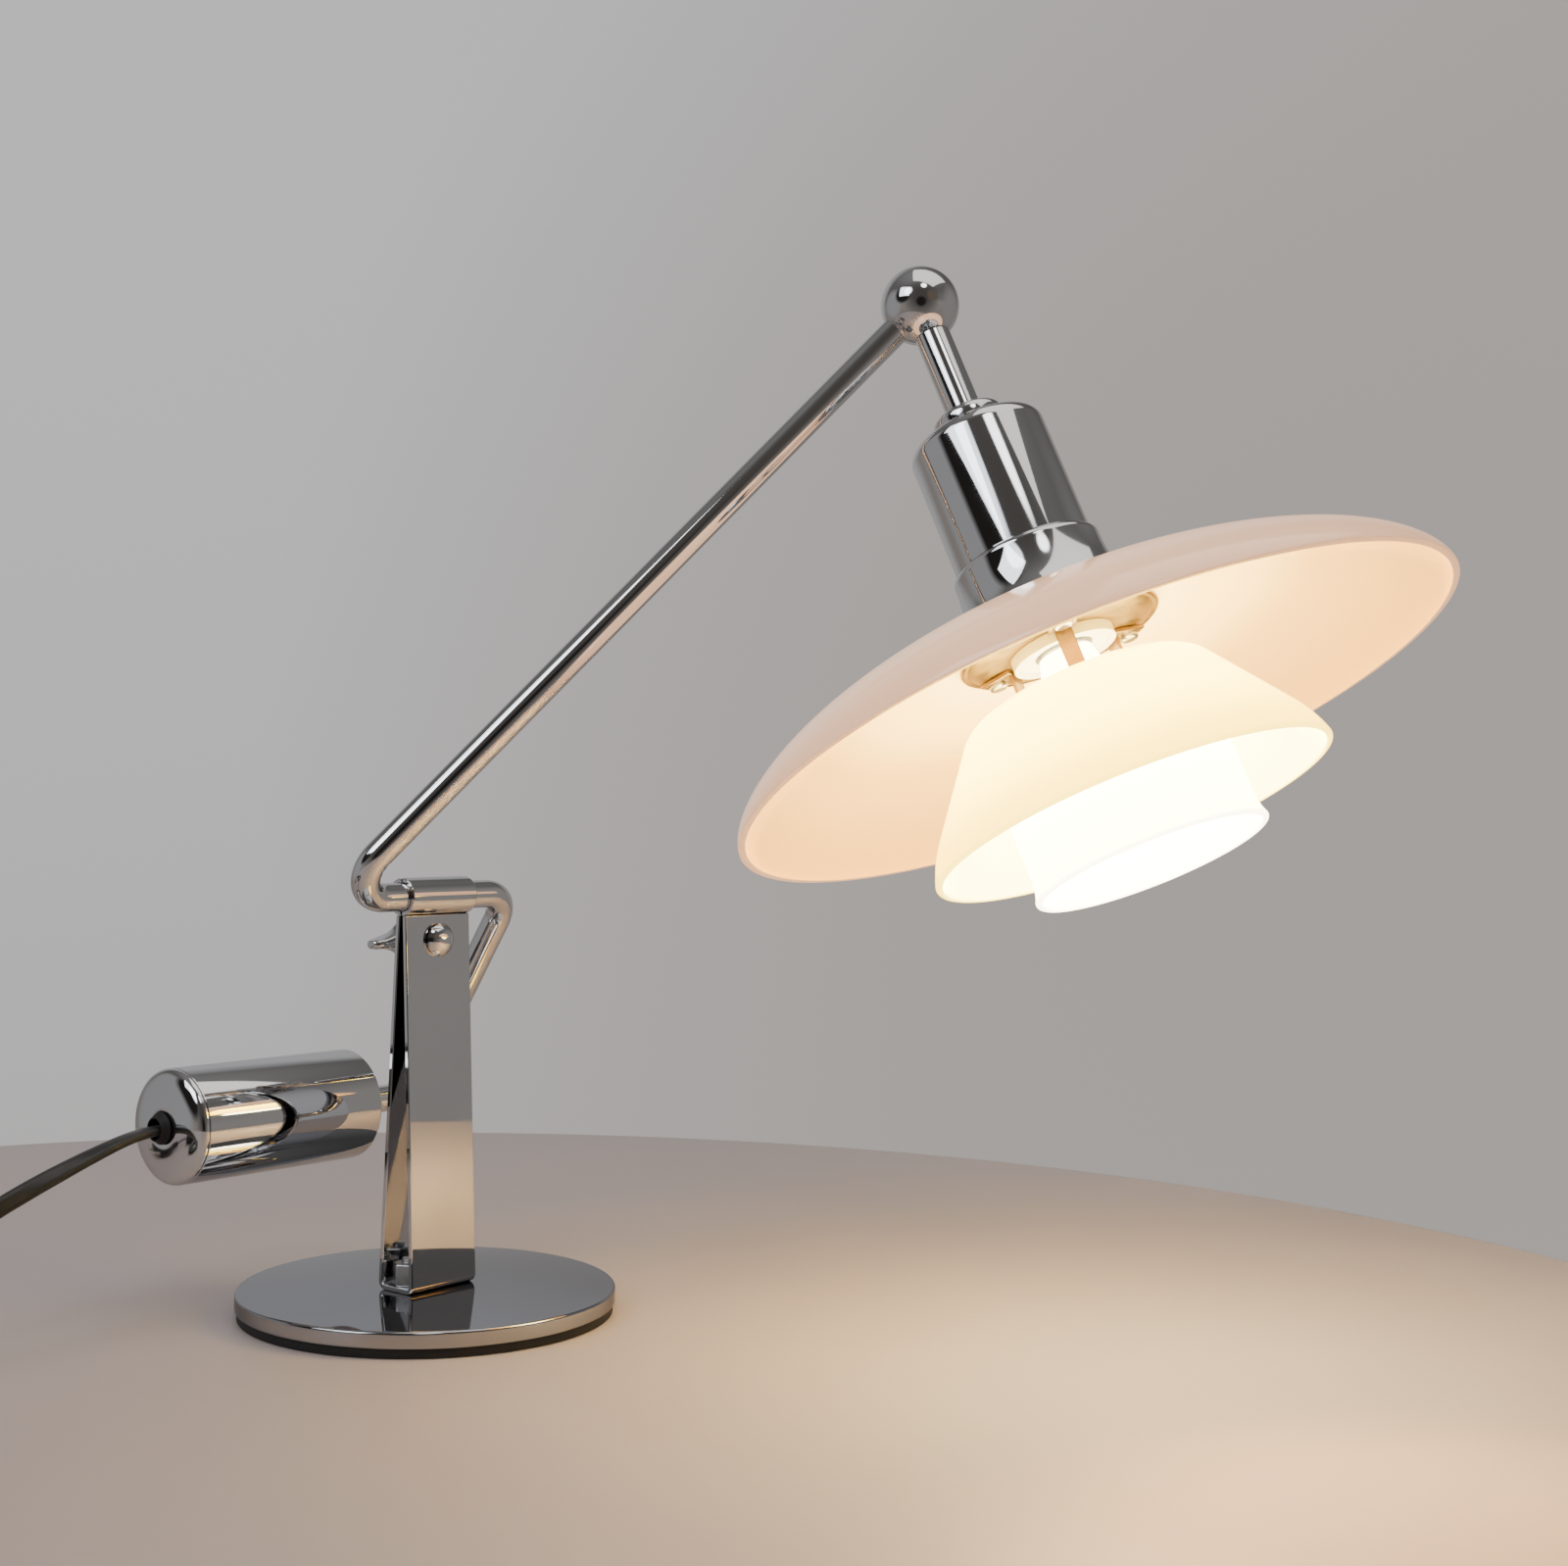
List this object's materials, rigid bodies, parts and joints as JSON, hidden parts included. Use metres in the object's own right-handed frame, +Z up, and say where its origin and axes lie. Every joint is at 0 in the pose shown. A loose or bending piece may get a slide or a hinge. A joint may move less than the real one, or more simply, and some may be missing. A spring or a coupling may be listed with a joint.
{
  "type": "desk_lamp",
  "caption": "Swing arm desk lamp with a round chrome base, a strip stand that clamps a bent tube arm, a counterweight and a ball-jointed head with stacked opal glass shades.",
  "frame": {"origin": "Centre of the base's underside, on the table under the middle of the base disc.", "axes": "+X runs along the arm's hinge and the two half sleeves; the head hangs over -Y and the counterweight over +Y; +Z up."},
  "size_m": [0.433, 0.4633, 0.2958],
  "materials": {
    "chrome_plate": "mirror",
    "chrome_shell": "mirror",
    "zinc_steel": "satin",
    "brass_parts": "satin",
    "nickel_pins": "satin",
    "black_rubber": "matte",
    "cord_sheath": "satin",
    "black_plastic": "satin",
    "ivory_plastic": "matte",
    "opal_glass": "gloss",
    "bulb_glass": "satin"
  },
  "bodies": {
    "base": {"base_disc": "chrome_plate", "foot_pad": "black_rubber", "base_bolts": "zinc_steel", "base_nuts": "zinc_steel", "stand_strip": "chrome_plate", "sleeve_front": "chrome_plate", "sleeve_back": "chrome_plate", "clamp_screw": "chrome_plate", "clamp_washer": "zinc_steel", "cord": "cord_sheath", "cord_coil": "cord_sheath", "cord_tail": "cord_sheath", "cord_lead": "cord_sheath", "switch_base": "black_plastic", "switch_cover": "black_plastic", "rocker_pin": "zinc_steel", "switch_screws": "zinc_steel", "plug_body": "black_plastic", "plug_pins": "nickel_pins", "plug_relief": "black_rubber"},
    "wing_nut": {"wing_nut": "chrome_plate"},
    "switch_rocker": {"switch_rocker": "black_plastic"},
    "arm": {"arm_tube": "chrome_plate", "arm_cable": "cord_sheath", "swivel_ring": "zinc_steel", "weight_collar": "chrome_plate", "weight_core": "brass_parts", "weight_shell": "chrome_plate", "weight_nut": "zinc_steel", "weight_cap": "chrome_plate", "cord_bush": "black_rubber"},
    "head": {"joint_ball": "chrome_plate", "stem": "chrome_plate", "stem_cable": "cord_sheath", "stem_boss": "chrome_plate", "socket_cap": "chrome_shell", "cap_foot": "chrome_shell", "holder_cup": "ivory_plastic", "holder_ring": "ivory_plastic", "holder_contact": "brass_parts", "bulb_cap": "zinc_steel", "bulb_glass": "bulb_glass", "neck_gasket": "ivory_plastic", "gallery_plate": "brass_parts", "shade_legs": "zinc_steel", "leg_screws": "zinc_steel", "shade_top": "opal_glass", "shade_middle": "opal_glass", "shade_bottom": "opal_glass"}
  },
  "joints": [
    {"name": "arm_tilt", "type": "hinge", "parent": "base", "child": "arm", "pos_m": [0, 0, 0.117], "axis": [1, 0, 0], "range_deg": [-12, 30]},
    {"name": "head_swivel", "type": "hinge", "parent": "arm", "child": "head", "pos_m": [0.0795, -0.10896, 0.28478], "axis": [0.5, -0.4717, 0.7263], "range_deg": [-45, 45]},
    {"name": "wing_nut_turn", "type": "hinge", "parent": "base", "child": "wing_nut", "pos_m": [0, 0.008, 0.1047], "axis": [0, 1, 0], "range_deg": [0, 360]},
    {"name": "switch_rock", "type": "hinge", "parent": "base", "child": "switch_rocker", "pos_m": [-0.2415, 0.137, 0.012], "axis": [1, 0, 0], "range_deg": [0, 16]}
  ]
}
